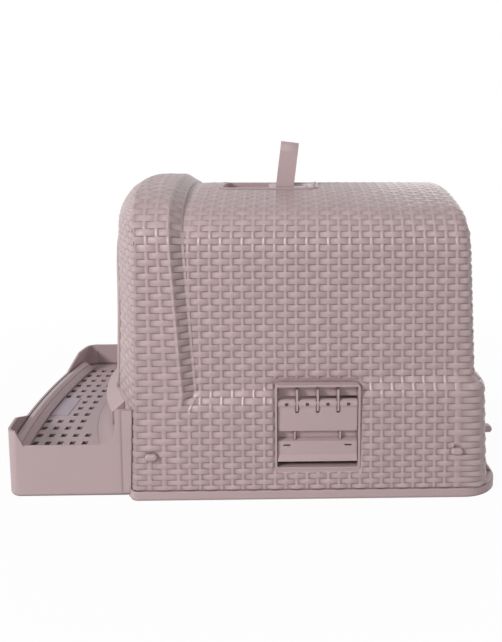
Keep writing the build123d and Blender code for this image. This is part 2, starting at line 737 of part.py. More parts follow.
# Hinge pin of the near clip
with BuildPart() as clip_pin_near:
    with BuildSketch(Plane.YZ.offset(clip_x - clip_half_length)):
        with Locations((-hinge_y, hinge_height)):
            Circle(clip_pin_radius)
    extrude(amount=2 * clip_half_length)
clip_pin_near.part.label = "clip_pin_near"
export_step(clip_pin_near.part, "parts/clip_pin_near.step")

# The far side's housing, clip and pin mirror the near side's
with BuildPart() as clip_housing_far:
    mirror(clip_housing_near.part, about=Plane.XZ)
clip_housing_far.part.label = "clip_housing_far"
export_step(clip_housing_far.part, "parts/clip_housing_far.step")
with BuildPart() as clip_far:
    mirror(clip_near.part, about=Plane.XZ)
clip_far.part.label = "clip_far"
export_step(clip_far.part, "parts/clip_far.step")
with BuildPart() as clip_pin_far:
    mirror(clip_pin_near.part, about=Plane.XZ)
clip_pin_far.part.label = "clip_pin_far"
export_step(clip_pin_far.part, "parts/clip_pin_far.step")

# Six oval studs through the skirt
with BuildPart() as hood_studs:
    with BuildSketch(*stud_planes):
        SlotOverall(stud_length, stud_tall)
    extrude(amount=stud_proud)
    with BuildSketch(*back_stud_planes):
        SlotOverall(stud_length, stud_tall)
    extrude(amount=back_stud_proud)
    outer_places = [plane.origin + plane.z_dir * stud_proud for plane in stud_planes]
    outer_places += [plane.origin + plane.z_dir * back_stud_proud for plane in back_stud_planes]
    outer_edges = [edge for place in outer_places for edge in
                   hood_studs.faces().sort_by_distance(place)[0].edges()]
    fillet(outer_edges, stud_round)
    with BuildSketch(*stud_planes, *back_stud_planes):
        Circle(stud_shank / 2)
    extrude(amount=-(pan_gap - 2 * slide_gap))
hood_studs.part.label = "hood_studs"
export_step(hood_studs.part, "parts/hood_studs.step")
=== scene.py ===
import math

import bmesh
import bpy
import numpy as np
from mathutils.bvhtree import BVHTree
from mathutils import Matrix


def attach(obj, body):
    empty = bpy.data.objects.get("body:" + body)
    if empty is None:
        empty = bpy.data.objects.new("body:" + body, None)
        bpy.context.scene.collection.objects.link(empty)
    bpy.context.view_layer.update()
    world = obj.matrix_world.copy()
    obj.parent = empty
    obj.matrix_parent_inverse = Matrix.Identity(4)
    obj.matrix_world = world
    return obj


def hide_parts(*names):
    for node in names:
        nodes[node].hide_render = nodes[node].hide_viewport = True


# A covered litter box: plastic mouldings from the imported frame, dressed with a woven-look hood skin.
# Metres. +Z is up, the entry step points to -X and the near side is -Y.

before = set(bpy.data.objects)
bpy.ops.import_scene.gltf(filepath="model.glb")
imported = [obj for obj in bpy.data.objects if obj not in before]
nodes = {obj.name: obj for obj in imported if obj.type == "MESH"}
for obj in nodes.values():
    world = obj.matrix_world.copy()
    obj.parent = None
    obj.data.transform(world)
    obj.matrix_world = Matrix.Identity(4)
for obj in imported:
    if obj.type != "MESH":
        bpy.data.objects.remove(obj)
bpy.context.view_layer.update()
scene = bpy.context.scene

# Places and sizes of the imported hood
FOOT = 0.011
LEAN = math.radians(2.0)
BODY_HALF, BODY_TOP, CROWN, SHOULDER = 0.185, 0.372, 0.440, 0.060
BOW_X, BOW_RADIUS = 0.171, 0.366
STEP_Z, STEP_BLEND = 0.126, 0.016
SKIRT_PROUD = 0.009
SHOULDER_Z = 0.300
BAND_Z = 0.385

# Where the band's bevel starts and ends, at the heights STEP_Z - STEP_BLEND, STEP_Z and BAND_Z
BEVEL_START_X = (-0.0860, -0.0814, -0.1000)
BEVEL_END_X = (-0.0731, -0.0654, -0.0840)

# The entry, and the cup on the top
ENTRY_HALF, ENTRY_FOOT, ENTRY_TOP, ENTRY_CORNER = 0.112, 0.112, 0.312, 0.020
CUP_MIDDLE_X, CUP_HALF_X, CUP_HALF_Y, CUP_CORNER = 0.0215, 0.0650, 0.0605, 0.0105
CUP_SHELF_X = 0.019

# Smooth areas that the weave leaves bare: round the entry, the lip under it and a strip low on the rear
ENTRY_CLEAR = 0.003
LIP_HALF, LIP_FOOT, LIP_TOP = 0.1615, 0.077, 0.1125
REAR_STRIP_HALF, REAR_STRIP_TOP = 0.1525, 0.0415

# Rays that find the hood's surface: how far off they start and how far past the arch they look
STAND_OFF, LOOK_PAST, SKIN_PAST = 0.05, 0.03, 0.024
BOW_STAND_OFF, BOW_REACH = 0.06, 0.095
REAR_START_X, REAR_REACH = 0.36, 0.16

# Where the search for the hood's front and rear edges starts, and its steps
EDGE_STEP, FRONT_STEPS, REAR_STEPS = 0.0005, 160, 120
FRONT_SEARCH_X, SKIRT_SEARCH_X, BODY_SEARCH_X, SKIRT_SEARCH_Z = -0.131, 0.256, 0.236, 0.09

# The weave as the photo shows it: strips in rows, woven round upright stakes
ROW_PITCH, FOOT_ROW_PITCH, ROW_EASE = 0.0080, 0.0065, 0.065
STAKE_X, STAKE_PITCH = -0.0602, 0.0129
CORNER_STAKE, BEVEL_STAKE, CREASE_STAKE, FIRST_STAKE, LAST_STAKE = 0.5, 3.5, 4.5, 5.5, 29.5
FRONT_STAKES, REAR_STAKES = 30, 28
STAKE_SHARES = (-0.5, -0.3, -0.19, -0.13, 0.0, 0.13, 0.19, 0.3)
ROW_SHARES = (0.0, 0.08, 0.3, 0.7, 0.92)

# How far from a shared edge the relief turns, and the share of relief left beside a held edge
EDGE_REACH, PART_HOLD = 0.005, 0.6

# The strips' swing is part cosine, part straight; higher powers make squarer strips and stakes
ROUND_SHARE, STRIP_POWER, STAKE_POWER = 0.4, 7.0, 5.0

# Where the weave lies flatter: on the top, along the crease behind the band and inside the front's edges
TOP_FADE, TOP_FADE_FROM, TOP_FADE_RUN = 0.65, 0.4, 0.55
CREASE_FADE, CREASE_FADE_FROM, CREASE_FADE_RUN, CREASE_HALF = 0.8, 0.3, 0.4, 0.014
FRONT_FADE, PANEL_FADE_RUN = 0.4, 0.03

# Plastic: mottle, grain, the shades of light spots and dark spots, and painted shade in grooves and
# crevices
MOTTLE_SCALE, GRAIN_STRENGTH, GRAIN_DEPTH, ROUGH_SPREAD = 14.0, 0.35, 0.00006, 0.10
LIGHT_SPOT, DARK_SPOT, GROOVE_PAINTED_SHADE = 1.05, 0.94, 0.70
GROOVE_GAIN, GROOVE_BLEND, GROOVE_ROUGH, PAINTED_CREVICE_POWER = 1.6, 0.2, 0.12, 1.5
WOVEN_SHINE, SMOOTH_SHINE = 0.40, 0.25
TAUPE, PALE_LILAC_AND_SHEEN = (0.475, 0.357, 0.364), (0.68, 0.612, 0.652, 1.0)

# Light of the room on the box, share of the floor's own shade near it, and the photo's height in pixels
ROOM_LIGHT, FLOOR_SHADE, PHOTO_HEIGHT = 0.21, 0.05, 642.0


class Thread:
    """A socket of a node tree that takes part in sums."""

    def __init__(self, bench, socket):
        self.bench, self.socket = bench, socket

    def __add__(self, other):
        return self.bench.math("ADD", self, other)

    def __sub__(self, other):
        return self.bench.math("SUBTRACT", self, other)

    def __rsub__(self, other):
        return self.bench.math("SUBTRACT", other, self)

    def __mul__(self, other):
        return self.bench.math("MULTIPLY", self, other)

    def __truediv__(self, other):
        return self.bench.math("DIVIDE", self, other)

    def __pow__(self, other):
        return self.bench.math("POWER", self, other)

    __radd__, __rmul__ = __add__, __mul__


class Bench:
    """Adds nodes to one tree."""

    def __init__(self, tree):
        self.tree = tree

    def node(self, kind, settings=None, sockets=None, out=0):
        made = self.tree.nodes.new(kind)
        for name, value in (settings or {}).items():
            setattr(made, name, value)
        for name, value in (sockets or {}).items():
            self.join(value, made.inputs[name])
        return Thread(self, made.outputs[out])

    def join(self, value, socket):
        if isinstance(value, Thread):
            self.tree.links.new(value.socket, socket)
        else:
            socket.default_value = value

    def math(self, operation, *values):
        return self.node("ShaderNodeMath", {"operation": operation}, dict(enumerate(values)))

    def plain_ray(self):
        """One for rays that show the background as it is, to the camera or in a reflection."""
        made = self.tree.nodes.new("ShaderNodeLightPath")
        names = ("Is Camera Ray", "Is Glossy Ray", "Is Transmission Ray")
        camera_ray, glossy_ray, through_ray = (Thread(self, made.outputs[name]) for name in names)
        return self.math("MAXIMUM", self.math("MAXIMUM", camera_ray, glossy_ray), through_ray)

    def mix(self, factor, first, second):
        return self.node("ShaderNodeMix", {"data_type": "RGBA"}, {0: factor, 6: first, 7: second}, out=2)


def plastic(name, colour, rough, grain=900.0, woven=False, painted_crevice_shade=None):
    """Moulded plastic: a little mottle, a fine spark-eroded grain, and painted shade darkening grooves or
    crevices.
    """
    material = bpy.data.materials.new(name)
    material.use_nodes = True
    bench = Bench(material.node_tree)
    shader = material.node_tree.nodes["Principled BSDF"]
    place = bench.node("ShaderNodeTexCoord", out=3)
    cloud = bench.node("ShaderNodeTexNoise", None, {"Vector": place, "Scale": MOTTLE_SCALE, "Detail": 3.0})
    fine = bench.node("ShaderNodeTexNoise", None, {"Vector": place, "Scale": grain, "Detail": 2.0})

    def shaded(factor):
        return [min(1.0, c * factor) for c in colour] + [1.0]

    light, dark = shaded(LIGHT_SPOT), shaded(DARK_SPOT)
    tint = bench.mix(cloud, dark, light)
    rough_here = rough + ROUGH_SPREAD * cloud - ROUGH_SPREAD / 2
    if woven:
        relief = bench.node("ShaderNodeAttribute", {"attribute_name": "relief"}, out=2)
        strip = bench.node("ShaderNodeAttribute", {"attribute_name": "shade"}, out=2)
        # Painted shade: the weave's base colour darkens into the grooves between strips, by the relief's
        # depth
        depth = bench.math("SMOOTH_MIN", relief * GROOVE_GAIN, 1.0, GROOVE_BLEND)
        tint = bench.mix(depth, shaded(GROOVE_PAINTED_SHADE), bench.mix(strip, dark, light))
        rough_here = rough_here + GROOVE_ROUGH * (1.0 - depth)
    # Painted shade: ambient occlusion darkens the base colour in crevices, corners and holes
    if painted_crevice_shade:
        distance, shade = painted_crevice_shade
        open_air = bench.node("ShaderNodeAmbientOcclusion", {"samples": 8}, {"Distance": distance}, out=1)
        tint = bench.mix(open_air ** PAINTED_CREVICE_POWER, shaded(shade), tint)
    shader.inputs["Specular IOR Level"].default_value = WOVEN_SHINE if woven else SMOOTH_SHINE
    bench.join(tint, shader.inputs["Base Color"])
    bench.join(rough_here, shader.inputs["Roughness"])
    bump_sockets = {"Strength": GRAIN_STRENGTH, "Distance": GRAIN_DEPTH, "Height": fine}
    bench.join(bench.node("ShaderNodeBump", None, bump_sockets), shader.inputs["Normal"])
    return material


hood_plastic = plastic("woven_taupe_plastic", (0.463, 0.347, 0.353), rough=0.31, woven=True)
# Each crevice pair is how far the painted shade of crevices reaches and how dark it gets; the grate's is
# darkest, so its holes read dark
shell_plastic = plastic("smooth_taupe_plastic", TAUPE, rough=0.40, painted_crevice_shade=(0.003, 0.40))
step_plastic = plastic("grey_taupe_plastic", (0.455, 0.346, 0.356), rough=0.42, painted_crevice_shade=(0.004, 0.10))
grate_plastic = plastic("grate_taupe_plastic", (0.465, 0.358, 0.375), rough=0.42, painted_crevice_shade=(0.009, 0.04))
# Painted light: the border's plastic is a lighter copy of the step's, so its sloped faces read as bright as
# a lit rim
painted_light_border_plastic = plastic("border_taupe_plastic", (0.56, 0.432, 0.449), rough=0.42, painted_crevice_shade=(0.004, 0.10))
# The pad's lilac is partly its own tone and partly a painted reflection of the surroundings seen at a
# grazing view
pad_lilac_and_sheen_plastic = plastic("lilac_pad_plastic", (0.45, 0.372, 0.438), rough=0.45)
cup_plastic = plastic("cup_taupe_plastic", TAUPE, rough=0.40, painted_crevice_shade=(0.003, 0.40))
pin_metal = plastic("pin_metal", (0.55, 0.55, 0.56), rough=0.3, grain=400.0)
pin_metal.node_tree.nodes["Principled BSDF"].inputs["Metallic"].default_value = 1.0


def paler_behind(material, x, colour):
    """Gives a material a paler colour behind a place along X."""
    bench = Bench(material.node_tree)
    base = material.node_tree.nodes["Principled BSDF"].inputs["Base Color"]
    tint = Thread(bench, base.links[0].from_socket)
    along = bench.node("ShaderNodeSeparateXYZ", None, {"Vector": bench.node("ShaderNodeTexCoord", out=3)})
    bench.join(bench.mix(bench.math("GREATER_THAN", along, x), tint, colour), base)


# The cup's shelf round the handle's foot is pale, partly a paler plate and partly a painted reflection of
# the white surroundings on its gloss; the pocket in front of it is taupe
paler_behind(cup_plastic, CUP_SHELF_X, PALE_LILAC_AND_SHEEN)

# Weave skin


def on_arch(s):
    """Places and outward normals on the body's arch, s metres from its near foot, and half its length."""
    up = np.array([-math.sin(LEAN), math.cos(LEAN)])
    inward = np.array([-math.cos(LEAN), -math.sin(LEAN)])
    base, crown_centre = np.array([BODY_HALF, FOOT]), np.array([0.0, BODY_TOP - CROWN])
    start = base + SHOULDER * inward - crown_centre
    middle = start @ up
    run = -middle + math.sqrt(middle**2 - start @ start + (CROWN - SHOULDER) ** 2)
    centre = base + run * up + SHOULDER * inward
    turn = math.atan2(*(centre - crown_centre)[::-1])
    bend = SHOULDER * (turn - LEAN)
    half = run + bend + CROWN * (math.pi / 2 - turn)
    s = np.asarray(s, float)
    q = np.where(s <= half, s, 2 * half - s)
    angle = np.where(q < run, LEAN, np.where(q < run + bend, LEAN + (q - run) / SHOULDER,
                                             turn + (q - run - bend) / CROWN))
    normal = np.stack([np.cos(angle), np.sin(angle)], -1)
    place = np.where((q < run)[..., None], base + q[..., None] * up,
                     np.where((q < run + bend)[..., None], centre + SHOULDER * normal,
                              crown_centre + CROWN * normal))
    mirror = np.stack([np.where(s <= half, -1.0, 1.0), np.ones_like(s)], -1)
    return place * mirror, normal * mirror, half


hood_mesh = nodes["hood_shell"].data
hood_skin = BVHTree.FromPolygons([v.co for v in hood_mesh.vertices],
                                 [tuple(p.vertices) for p in hood_mesh.polygons])


def cast(origins, directions, reach):
    """Where rays meet the hood, and how far they went; nan where they miss."""
    flat_o, flat_d = origins.reshape(-1, 3), directions.reshape(-1, 3)
    hits = np.full((len(flat_o), 4), np.nan)
    for i in range(len(flat_o)):
        place, _, _, far = hood_skin.ray_cast(flat_o[i].tolist(), flat_d[i].tolist(), reach)
        if place is not None:
            hits[i] = (*place, far)
    hits = hits.reshape(origins.shape[:-1] + (4,))
    return hits[..., :3], hits[..., 3]


def arch_rays(x, s):
    """Ray starts and directions towards the body's arch at places x, s."""
    place, normal, _ = on_arch(s)
    off = place + STAND_OFF * normal
    start = np.stack([x, off[..., 0], off[..., 1]], -1)
    return start, np.stack([np.zeros_like(x), -normal[..., 0], -normal[..., 1]], -1)


def turning_edge(s, start_x, step, count):
    """Per section, the place where the hood turns away from the arch by 45 degrees, smoothed over seven."""
    x = start_x[:, None] + step * np.arange(count)
    hit, far = cast(*arch_rays(x, np.broadcast_to(s[:, None], x.shape)), STAND_OFF + LOOK_PAST)
    steep = np.isnan(far[:, 1:]) | (np.diff(far, axis=1) > abs(step))
    first = np.where(steep.any(1), steep.argmax(1), count - 2)
    edge = np.take_along_axis(hit, first[:, None, None].repeat(3, 2), 1)[:, 0]
    padded = np.concatenate([edge[:1]] * 3 + [edge] + [edge[-1:]] * 3)
    return sum(padded[i:i + len(edge)] for i in range(7)) / 7


def levels(count, shares):
    """Row numbers up to a count, with the shares of a row in each."""
    return np.append((np.arange(count)[:, None] + np.array(shares)).ravel(), count)


def row_places():
    """Row numbers from the near foot over the top to the far foot, and their distances along the arch."""
    half = on_arch(0.0)[2]
    s = np.linspace(0.0, half, 2000)
    pitch = FOOT_ROW_PITCH + (ROW_PITCH - FOOT_ROW_PITCH) * np.minimum(s / ROW_EASE, 1.0)
    number = np.append(0.0, np.cumsum(np.diff(s) / pitch[1:]))
    count = 2 * int(round(number[-1] - 0.5)) + 1
    number *= count / 2 / number[-1]
    rows = levels(count, ROW_SHARES)
    near = np.interp(np.minimum(rows, count - rows), number, s)
    return rows, np.where(rows <= count / 2, near, 2 * half - near), count


rows, row_s, row_count = row_places()
half_way = (row_count // 2) * len(ROW_SHARES) + 1
row_place, row_normal, _ = on_arch(row_s)
row_fade = 1.0 - TOP_FADE * np.clip((row_normal[:, 1] - TOP_FADE_FROM) / TOP_FADE_RUN, 0.0, 1.0)
front_edge = turning_edge(row_s, np.full(len(row_s), FRONT_SEARCH_X), -EDGE_STEP, FRONT_STEPS)
rear_search_x = np.where(row_place[:, 1] < SKIRT_SEARCH_Z, SKIRT_SEARCH_X, BODY_SEARCH_X)
rear_edge = turning_edge(row_s, rear_search_x, EDGE_STEP, REAR_STEPS)


def toward(vectors):
    """Unit vectors."""
    return vectors / np.maximum(np.linalg.norm(vectors, axis=-1, keepdims=True), 1e-12)


def lifts_of(points, outward):
    """Outward unit normals of a grid of points."""
    across, along = np.gradient(points, axis=1), np.gradient(points, axis=0)
    lift = toward(np.cross(across, along))
    lift *= np.sign((lift * outward).sum(-1, keepdims=True) + 1e-12)
    soft = np.pad(lift, ((1, 1), (1, 1), (0, 0)), mode="edge")
    soft = sum(soft[i:i + lift.shape[0], j:j + lift.shape[1]] for i in range(3) for j in range(3))
    return toward(soft)


def bend_to(lift, edge_lift, distance):
    """Turns the lifts near a shared edge towards the edge's own direction."""
    share = np.clip(1.0 - distance / EDGE_REACH, 0.0, 1.0)[..., None]
    return toward(lift * (1.0 - share) + edge_lift * share)


def grid_mesh(name, points, lift, stake, row, fade, good, closed_rows):
    """A skin sheet from a grid of points: no faces with a bad corner, and cut edges are held down."""
    face_good = good[:-1, :-1] & good[1:, :-1] & good[:-1, 1:] & good[1:, 1:]
    hold = np.ones(good.shape)
    shut = ~good
    for r in closed_rows:
        shut[r] = True
    ring = np.pad(~face_good, 1, constant_values=False)
    near = ring[:-1, :-1] | ring[1:, :-1] | ring[:-1, 1:] | ring[1:, 1:] | shut
    grown = np.pad(near, 1, mode="edge")
    next_ring = (grown[:-2, 1:-1] | grown[2:, 1:-1] | grown[1:-1, :-2] | grown[1:-1, 2:])
    hold[next_ring] = PART_HOLD
    hold[near] = 0.0
    keep = np.zeros(good.shape, bool)
    for a in (slice(None, -1), slice(1, None)):
        for b in (slice(None, -1), slice(1, None)):
            keep[a, b] |= face_good
    index = np.full(good.shape, -1)
    index[keep] = np.arange(keep.sum())
    corner = [index[:-1, :-1], index[:-1, 1:], index[1:, 1:], index[1:, :-1]]
    faces = np.stack([c[face_good] for c in corner], -1)
    p = points[keep]
    first = faces[len(faces) // 2]
    spin = np.cross(p[first[1]] - p[first[0]], p[first[3]] - p[first[0]])
    if spin @ lift[keep][first[0]] < 0:
        faces = faces[:, ::-1]
    mesh = bpy.data.meshes.new(name)
    mesh.from_pydata(p.tolist(), [], faces.tolist())
    mesh.validate()
    for label, kind, values in (("stake", "FLOAT", stake[keep]), ("row", "FLOAT", row[keep]),
                                ("hold", "FLOAT", hold[keep]), ("fade", "FLOAT", fade[keep]),
                                ("lift", "FLOAT_VECTOR", lift[keep])):
        layer = mesh.attributes.new(label, kind, "POINT")
        layer.data.foreach_set("value" if kind == "FLOAT" else "vector", values.astype(np.float32).ravel())
    welded = bmesh.new()
    welded.from_mesh(mesh)
    bmesh.ops.remove_doubles(welded, verts=welded.verts, dist=2e-6)
    bmesh.ops.dissolve_degenerate(welded, edges=welded.edges, dist=1e-6)
    welded.to_mesh(mesh)
    welded.free()
    mesh.shade_smooth()
    made = bpy.data.objects.new(name, mesh)
    scene.collection.objects.link(made)
    return made


def new_tree(name, inputs):
    """A Geometry Nodes tree with named inputs: tree, bench, input threads and their identifiers."""
    tree = bpy.data.node_groups.new(name, "GeometryNodeTree")
    tree.interface.new_socket("Geometry", in_out="INPUT", socket_type="NodeSocketGeometry")
    ids = {}
    for label, kind in inputs:
        ids[label] = tree.interface.new_socket(label, in_out="INPUT", socket_type=kind).identifier
    tree.interface.new_socket("Geometry", in_out="OUTPUT", socket_type="NodeSocketGeometry")
    bench = Bench(tree)
    entry = tree.nodes.new("NodeGroupInput")
    return tree, bench, {socket.name: Thread(bench, socket) for socket in entry.outputs if socket.name}, ids


def close_tree(bench, geometry, material):
    """Realizes a tree's geometry, gives it its material and joins it to the output."""
    whole = bench.node("GeometryNodeRealizeInstances", None, {"Geometry": geometry})
    dressed = bench.node("GeometryNodeSetMaterial", None, {"Geometry": whole, "Material": material})
    leave = bench.tree.nodes.new("NodeGroupOutput")
    bench.join(dressed, leave.inputs["Geometry"])


def attribute(bench, name, kind="FLOAT"):
    """Reads a named attribute of the geometry."""
    made = bench.tree.nodes.new("GeometryNodeInputNamedAttribute")
    made.data_type = kind
    made.inputs["Name"].default_value = name
    return Thread(bench, next(s for s in made.outputs if s.enabled and s.name == "Attribute"))


def weave_tree():
    """Strips that pass over and under upright stakes, raised along each point's own lift."""
    names = ("Strip Middle", "Strip Swing", "Stake Rise", "Stake Half Width", "Groove Floor", "Edge Sink")
    inputs = [(n, "NodeSocketFloat") for n in names] + [("Material", "NodeSocketMaterial")]
    tree, bench, given, ids = new_tree("weave_relief", inputs)
    stake, row, hold, fade = (attribute(bench, n) for n in ("stake", "row", "hold", "fade"))
    lift = attribute(bench, "lift", "FLOAT_VECTOR")
    strip_number = bench.math("FLOOR", row)
    off_strip = bench.math("ABSOLUTE", bench.math("FRACT", row) - 0.5)
    off_stake = bench.math("ABSOLUTE", bench.math("FRACT", stake) - 0.5)
    phase = bench.math("PINGPONG", stake - 0.5 + strip_number, 1.0)
    straight = 1.0 - 2.0 * phase
    swing = ROUND_SHARE * bench.math("COSINE", phase * math.pi) + (1.0 - ROUND_SHARE) * straight
    round_over = 1.0 - (off_strip * 2.0) ** STRIP_POWER
    floor = given["Groove Floor"]
    strip = floor + round_over * (given["Strip Middle"] + given["Strip Swing"] * swing - floor)
    rib = bench.math("MAXIMUM", 1.0 - (off_stake / given["Stake Half Width"]) ** STAKE_POWER, 0.0)
    upright = floor + rib * (given["Stake Rise"] - floor)
    height = bench.math("MAXIMUM", strip, upright)
    raised = hold * fade * height - (1.0 - hold) * given["Edge Sink"]
    top = given["Strip Middle"] + given["Strip Swing"]
    # A number for each strip and stake that looks random
    stake_number = bench.math("FLOOR", stake)
    scatter = bench.math("SINE", strip_number * 12.99 + stake_number * 4.1)
    shade = bench.math("FRACT", scatter * 43.7)
    body = given["Geometry"]
    for label, value in (("relief", height / top), ("shade", shade)):
        body = bench.node("GeometryNodeStoreNamedAttribute", {"data_type": "FLOAT", "domain": "POINT"},
                          {"Geometry": body, "Name": label, "Value": value})
    offset = bench.node("ShaderNodeVectorMath", {"operation": "SCALE"}, {0: lift, "Scale": raised})
    body = bench.node("GeometryNodeSetPosition", None, {"Geometry": body, "Offset": offset})
    close_tree(bench, body, given["Material"])
    return tree, ids


def worked(blank, tree, ids, values):
    """Runs a tree on a blank object and keeps the result as a plain mesh under the same name."""
    modifier = blank.modifiers.new("shape", "NODES")
    modifier.node_group = tree
    for label, value in values.items():
        modifier[ids[label]] = value
    graph = bpy.context.evaluated_depsgraph_get()
    shaped = blank.evaluated_get(graph)
    mesh = bpy.data.meshes.new_from_object(shaped, preserve_all_data_layers=True, depsgraph=graph)
    blank.modifiers.remove(modifier)
    blank.data = mesh
    return blank


weave, weave_ids = weave_tree()
WEAVE = {"Strip Middle": 0.0015, "Strip Swing": 0.0012, "Stake Rise": 0.0017, "Stake Half Width": 0.165,
         "Groove Floor": 0.0001, "Edge Sink": 0.0004, "Material": hood_plastic}


def weave_piece(name, *grid):
    """One woven piece of the hood, from the grid that grid_mesh takes."""
    made = worked(grid_mesh(name, *grid), weave, weave_ids, WEAVE)
    for label in ("stake", "row", "hold", "fade", "lift"):
        layer = made.data.attributes.get(label)
        if layer:
            made.data.attributes.remove(layer)
    made.data.set_sharp_from_angle(angle=math.radians(26.0))
    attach(made, "hood")
    return made


def on_side(x, s):
    """Points on the hood's sides and top."""
    start, way = arch_rays(x, s)
    hit, far = cast(start, way, STAND_OFF + LOOK_PAST)
    good = ~np.isnan(far) & (far < STAND_OFF + SKIN_PAST)
    proud = np.where(row_place[:, 1] < STEP_Z, SKIRT_PROUD, 0.0)[:, None, None]
    return np.where(good[..., None], hit, start + way * (STAND_OFF - proud)), good


def side_sheet(name, x, stake, first, last, crease):
    """One woven sheet of the sides and top, in a near and a far half."""
    s = np.broadcast_to(row_s[:, None], x.shape)
    points, good = on_side(x, s)
    outward = np.stack([0 * row_s, row_normal[:, 0], row_normal[:, 1]], -1)[:, None]
    for column, edge in ((0, first), (-1, last)):
        if edge is not None:
            points[:, column], good[:, column] = edge, True
    lift = lifts_of(points, outward)
    bow = toward(np.stack([front_edge[:, 0] - BOW_X, front_edge[:, 1], 0 * row_s], -1))[:, None]
    lift = bend_to(lift, toward(outward + bow), x - front_edge[:, :1])
    lift = bend_to(lift, toward(outward + np.array([1.0, 0, 0])), rear_edge[:, :1] - x)
    lift = bend_to(lift, toward(outward + np.array([0.3, 0, 0])), np.abs(x - crease[:, None]))
    row = np.broadcast_to(rows[:, None], x.shape)
    on_top = np.clip((row_normal[:, 1:] - CREASE_FADE_FROM) / CREASE_FADE_RUN, 0.0, 1.0)
    by_crease = np.clip(1.5 - np.abs(x - crease[:, None]) / CREASE_HALF, 0.0, 1.0)
    fade = row_fade[:, None] * (1.0 - CREASE_FADE * on_top * by_crease)
    made = []
    halves = (("near", slice(None, half_way), [0]), ("far", slice(half_way - 1, None), [-1]))
    for half, part, shut in halves:
        grid = [values[part] for values in (points, lift, stake, row, fade, good)]
        made.append(weave_piece(name.format(half), *grid, shut))
    return made


def between(first, last):
    """Stake numbers from one stake to another, with the shares of a pitch round each."""
    whole = (np.arange(first, last + 1.5)[:, None] + np.array(STAKE_SHARES)).ravel()
    return whole[(whole >= first - 1e-9) & (whole <= last + 1e-9)]


def sides():
    """The band round the front with its bevel, and the body and skirt behind it."""
    knots = (STEP_Z - STEP_BLEND, STEP_Z, BAND_Z)
    z = row_place[:, 1]
    bevel_start, bevel_end = np.interp(z, knots, BEVEL_START_X), np.interp(z, knots, BEVEL_END_X)
    numbers = between(CORNER_STAKE, CREASE_STAKE)
    stake = np.broadcast_to(numbers, (len(z), len(numbers)))
    front_x, start_x, end_x = front_edge[:, :1], bevel_start[:, None], bevel_end[:, None]
    on_band = front_x + (start_x - front_x) * (stake - CORNER_STAKE) / (BEVEL_STAKE - CORNER_STAKE)
    on_bevel = start_x + (end_x - start_x) * (stake - BEVEL_STAKE)
    x = np.where(stake <= BEVEL_STAKE, on_band, on_bevel)
    side_sheet("weave_band_{}", x, stake, front_edge, None, bevel_end)
    numbers = between(BEVEL_STAKE, LAST_STAKE + 1)
    stake = np.broadcast_to(numbers, (len(z), len(numbers)))
    regular = STAKE_X + STAKE_PITCH * (np.minimum(stake, LAST_STAKE) - FIRST_STAKE)
    x = regular + (rear_edge[:, :1] - regular) * np.maximum(stake - LAST_STAKE, 0.0)
    short = x <= end_x
    x, stake = np.where(short, end_x, x), np.where(short, CREASE_STAKE, stake)
    for piece in side_sheet("weave_{}_side", x, stake, None, rear_edge, bevel_end):
        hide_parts("hood_uprights")


def edge_by_height(edge):
    """Near half of an edge curve as a rising table of height, half width and X."""
    near = edge[:half_way]
    z = np.maximum.accumulate(near[:, 2])
    rising = np.append(True, np.diff(z) > 1e-6)
    return z[rising], -near[rising, 1], near[rising, 0]


def end_panel(name, edge, stake_count, first_stake, sign, aim, left_out, lowered):
    """The weave over the bowed front or the rear, clamped to the corner stakes shared with the sides."""
    edge_z, edge_half, edge_x = edge_by_height(edge)
    z = row_place[:half_way, 1] + SKIRT_PROUD * math.sin(LEAN)
    z = z[z <= edge_z[-1]]
    stakes = between(0.0, stake_count)
    half = np.interp(z, edge_z, edge_half)[:, None]
    spread = np.where(z < SHOULDER_Z, half[:, 0], np.interp(SHOULDER_Z, edge_z, edge_half))[:, None]
    y = spread * (2 * stakes / stake_count - 1)[None]
    clamped = np.abs(y) >= half - 1e-5
    stake = np.where(clamped, np.where(y < 0, 0.0, stake_count), stakes[None])
    y = np.clip(y, -half, half)
    height = np.broadcast_to(z[:, None], y.shape)
    start, way, reach = aim(y, height)
    hit, far = cast(start, way, reach)
    on_edge = np.stack([np.broadcast_to(np.interp(z, edge_z, edge_x)[:, None], y.shape), y, height], -1)
    points = np.where((clamped | np.isnan(far))[..., None], on_edge, hit)
    good = (clamped | ~np.isnan(far)) & ~left_out(y, height)
    outward = -way
    lift = lifts_of(points, outward)
    side = np.stack([0 * y, np.sign(y) * math.cos(LEAN), 0 * y + math.sin(LEAN)], -1)
    lift = bend_to(lift, toward(outward + side), half - np.abs(y))
    row = np.broadcast_to(rows[:len(z), None], y.shape)
    inside = np.clip((half - np.abs(y)) / PANEL_FADE_RUN, 0.0, 1.0)
    fade = row_fade[:len(z), None] * (1.0 - lowered * inside)
    weave_piece(name, points, lift, first_stake + sign * stake, row, fade, good, [0])


def aim_at_bow(y, z):
    """Ray starts, directions and reach towards the bowed front, square to it."""
    radius = BOW_RADIUS - (z - FOOT) * math.tan(LEAN)
    way = np.stack([np.sqrt(radius**2 - y**2) / radius, -y / radius, 0 * y], -1)
    axis = np.stack([0 * y + BOW_X, 0 * y, z], -1)
    return axis - way * (radius + BOW_STAND_OFF)[..., None], way, BOW_REACH


def aim_at_rear(y, z):
    """Ray starts, directions and reach towards the rear."""
    return np.stack([0 * y + REAR_START_X, y, z], -1), np.stack([0 * y - 1.0, 0 * y, 0 * y], -1), REAR_REACH


def front_left_out(y, z):
    """The bare areas of the front: the lip and the entry."""
    lip = (np.abs(y) < LIP_HALF) & (z > LIP_FOOT) & (z < LIP_TOP)
    half, foot, round_z = ENTRY_HALF + ENTRY_CLEAR, ENTRY_FOOT - ENTRY_CLEAR, ENTRY_TOP - ENTRY_HALF
    arched = (z < round_z) | (np.hypot(y, z - round_z) < half)
    return lip | (np.abs(y) < half) & (z > foot) & arched


